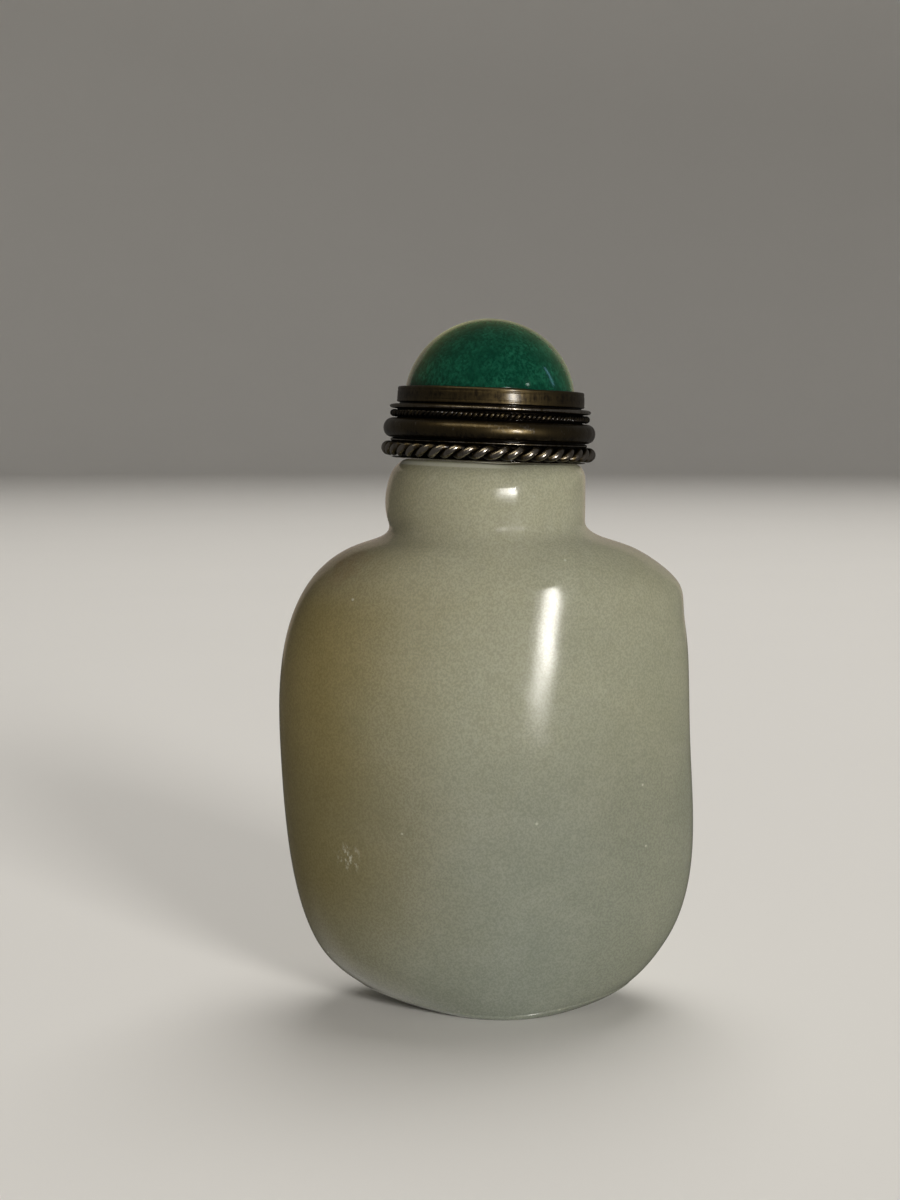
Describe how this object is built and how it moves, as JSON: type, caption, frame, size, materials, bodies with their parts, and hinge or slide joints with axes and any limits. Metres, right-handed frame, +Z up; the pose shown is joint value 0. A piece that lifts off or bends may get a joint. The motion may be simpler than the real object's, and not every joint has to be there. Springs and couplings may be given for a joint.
{
  "type": "snuff bottle",
  "caption": "Flattened oblong stone snuff bottle with a short round neck and small foot, closed by a domed stone stopper in a stepped brass mount with a rope ring.",
  "frame": {"origin": "under the middle of the object's box, at the height of the foot's flat underside", "axes": "+Z up along the neck, +X across the broad faces towards the side that the stopper leans to, the front broad face looks along -Y"},
  "size_m": [0.0419, 0.0258, 0.0688],
  "materials": {
    "jade": "gloss",
    "green_stone": "polished",
    "collar_brass": "satin",
    "wire_brass": "satin",
    "cork": "matte"
  },
  "bodies": {
    "root": {"bottle_body": "jade", "stopper_cabochon": "green_stone", "stopper_collar": "collar_brass", "stopper_rope_ring": "wire_brass", "stopper_fine_wire": "wire_brass", "stopper_cork": "cork"}
  },
  "joints": []
}
